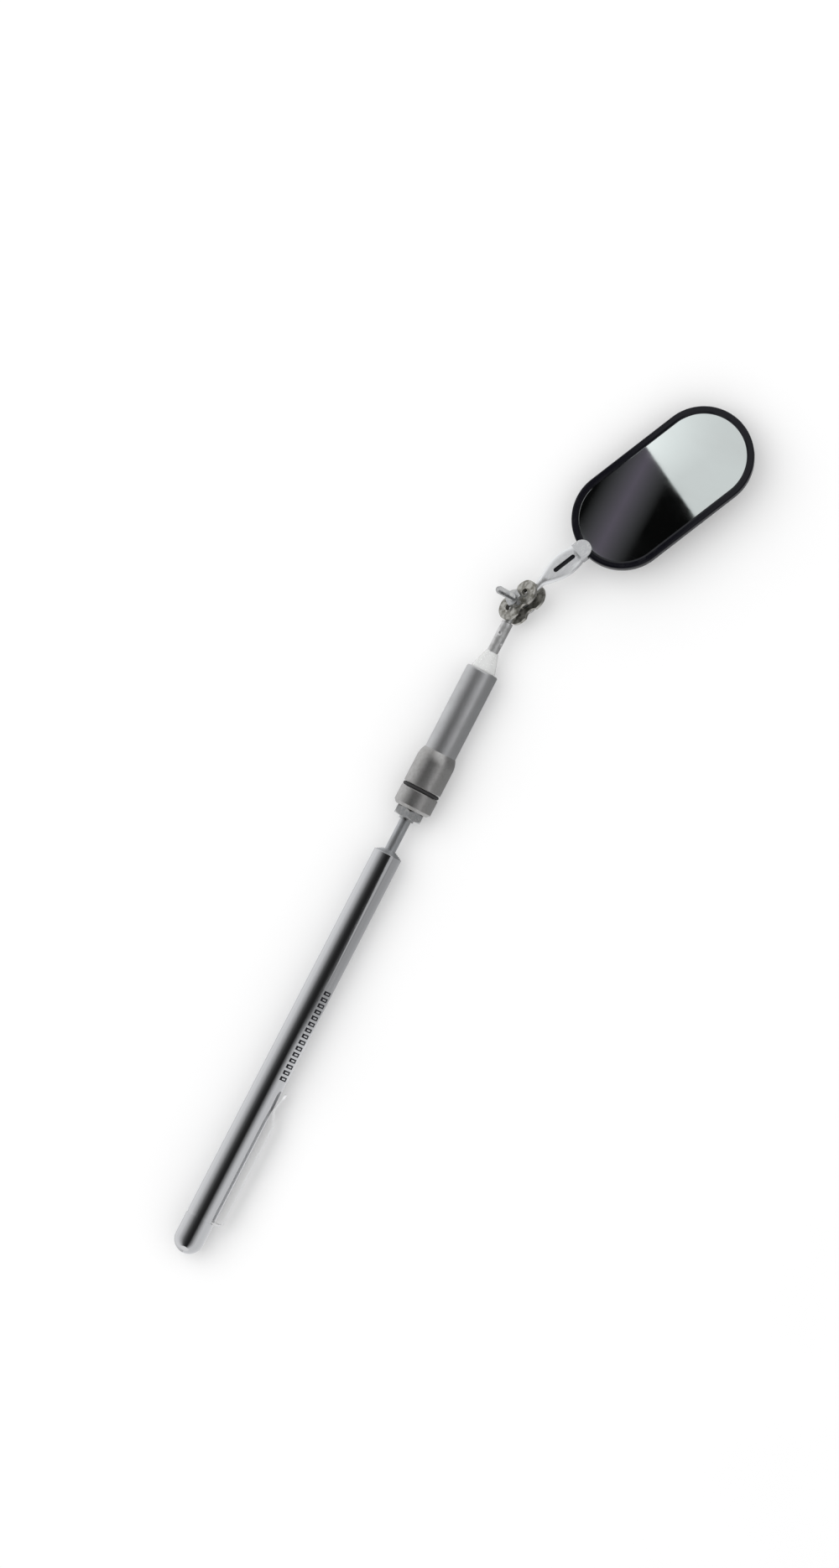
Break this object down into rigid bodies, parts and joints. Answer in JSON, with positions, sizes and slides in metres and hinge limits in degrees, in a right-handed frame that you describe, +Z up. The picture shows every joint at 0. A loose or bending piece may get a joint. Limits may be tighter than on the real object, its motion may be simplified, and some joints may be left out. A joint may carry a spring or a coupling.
{
  "type": "telescoping inspection mirror",
  "caption": "Pen-size telescoping inspection mirror: oval mirror on a clamped double-ball joint, twist-switch light head, nested sliding tubes and a pocket clip.",
  "frame": {"origin": "middle of the bounding box, on the surface the tool lies on", "axes": "+X along the tool from the domed end cap to the mirror, +Z up from the surface, -Y towards the pocket clip and the side the mirror is bent to"},
  "size_m": [0.2482, 0.0436, 0.0134],
  "materials": {
    "handle_chrome": "bright nickel-chrome plate on drawn tube, fine draw lines",
    "clip_chrome": "bright plated spring strip",
    "tube_chrome": "bright plated thin tube with sliding marks",
    "bushing_bronze": "plain phosphor bronze",
    "nut_steel": "zinc-plated steel, turned and tumbled",
    "collar_nickel": "satin nickel over turned brass",
    "seal_rubber": "matt black nitrile",
    "spring_steel": "bright spring wire",
    "head_chrome": "bright nickel-chrome plate on drawn tube",
    "sleeve_plastic": "thin insulating film",
    "cell_steel": "plain pressed steel can",
    "contact_brass": "plain brass",
    "lead_copper": "tinned copper wire",
    "resistor_body": "lacquered body",
    "anchor_brass": "turned brass",
    "board_laminate": "green circuit laminate",
    "led_window": "clear epoxy over yellow phosphor",
    "clear_plastic": "frosted clear acrylic",
    "joint_steel": "drawn steel rod, satin",
    "ball_steel": "ground steel",
    "plate_zinc": "barrel-plated zinc, slightly dull",
    "stem_chrome": "bright plated pressed steel",
    "rivet_steel": "bright steel",
    "frame_black": "semi-gloss black moulding",
    "mirror_silver": "back-silvered float glass",
    "pad_foam": "closed-cell foam tape",
    "back_black": "black enamel on pressed steel"
  },
  "bodies": {
    "handle": {"end_cap": "handle_chrome", "handle_tube": "handle_chrome"},
    "clip": {"pocket_clip": "clip_chrome"},
    "stage_1": {"stage_1_tube": "tube_chrome", "stage_1_bushing": "bushing_bronze"},
    "stage_2": {"stage_2_tube": "tube_chrome", "stage_2_bushing": "bushing_bronze"},
    "stage_3": {"stage_3_tube": "tube_chrome", "stage_3_bushing": "bushing_bronze"},
    "stage_4": {"stage_4_tube": "tube_chrome", "stage_4_bushing": "bushing_bronze"},
    "rod_slider": {"rod_bushing": "bushing_bronze"},
    "tail": {"rod": "tube_chrome", "tail_nut": "nut_steel", "tail_cap": "collar_nickel", "seal_ring": "seal_rubber", "contact_spring": "spring_steel"},
    "light_head": {"switch_collar": "collar_nickel", "head_tube": "head_chrome", "battery_sleeve": "sleeve_plastic", "button_cells": "cell_steel", "front_contact": "contact_brass", "led_leads": "lead_copper", "resistor": "resistor_body", "rod_anchor": "anchor_brass", "led_board": "board_laminate", "leds": "led_window", "nose_cone": "clear_plastic", "ball_rod": "joint_steel"},
    "first_ball": {"rod_ball": "ball_steel"},
    "clamp": {"clamp_plate_nut_side": "plate_zinc", "clamp_plate_head_side": "plate_zinc", "clamp_washer": "plate_zinc", "clamp_nut": "nut_steel"},
    "screw": {"clamp_screw": "nut_steel"},
    "second_ball": {"mirror_ball": "ball_steel"},
    "mirror": {"mirror_stem": "stem_chrome", "stem_rivets": "rivet_steel", "mirror_frame": "frame_black", "mirror_glass": "mirror_silver", "backing_pad": "pad_foam", "back_plate": "back_black"}
  },
  "joints": [
    {"name": "clip_flex", "type": "hinge", "parent": "handle", "child": "clip", "pos_m": [-0.11409, 0.01192, 0.00501], "axis": [0, 0, -1], "range_deg": [0, 3.5], "stiffness_Nm_per_rad": 0.4},
    {"name": "stage_1_slide", "type": "slide", "parent": "handle", "child": "stage_1", "axis": [1, 0, 0], "range_m": [0, 0.09]},
    {"name": "stage_2_slide", "type": "slide", "parent": "stage_1", "child": "stage_2", "axis": [1, 0, 0], "range_m": [0, 0.09]},
    {"name": "stage_3_slide", "type": "slide", "parent": "stage_2", "child": "stage_3", "axis": [1, 0, 0], "range_m": [0, 0.09]},
    {"name": "stage_4_slide", "type": "slide", "parent": "stage_3", "child": "stage_4", "axis": [1, 0, 0], "range_m": [0, 0.09]},
    {"name": "rod_slide", "type": "slide", "parent": "stage_4", "child": "rod_slider", "axis": [1, 0, 0], "range_m": [0, 0.09]},
    {"name": "rod_turn", "type": "hinge", "parent": "rod_slider", "child": "tail", "pos_m": [-0.1072, 0.01531, 0.00501], "axis": [1, 0, 0], "continuous": true},
    {"name": "switch_twist", "type": "hinge", "parent": "tail", "child": "light_head", "pos_m": [0.006, 0.01531, 0.00501], "axis": [1, 0, 0], "range_deg": [0, 60]},
    {"name": "first_ball_spin", "type": "hinge", "parent": "light_head", "child": "first_ball", "pos_m": [0.056, 0.01531, 0.00501], "axis": [1, 0, 0], "continuous": true},
    {"name": "clamp_swing", "type": "hinge", "parent": "first_ball", "child": "clamp", "pos_m": [0.056, 0.01531, 0.00501], "axis": [0, 0.7071, 0.7071], "range_deg": [-37.8, 92.2]},
    {"name": "screw_turn", "type": "hinge", "parent": "clamp", "child": "screw", "pos_m": [0.05857, 0.01437, 0.00595], "axis": [0, 0.7071, 0.7071], "range_deg": [0, 360]},
    {"name": "mirror_swing", "type": "hinge", "parent": "clamp", "child": "second_ball", "pos_m": [0.06115, 0.01344, 0.00689], "axis": [0, 0.7071, 0.7071], "range_deg": [-74, 56]},
    {"name": "mirror_spin", "type": "hinge", "parent": "second_ball", "child": "mirror", "pos_m": [0.06115, 0.01344, 0.00689], "axis": [0.9497, -0.2214, 0.2214], "continuous": true}
  ]
}
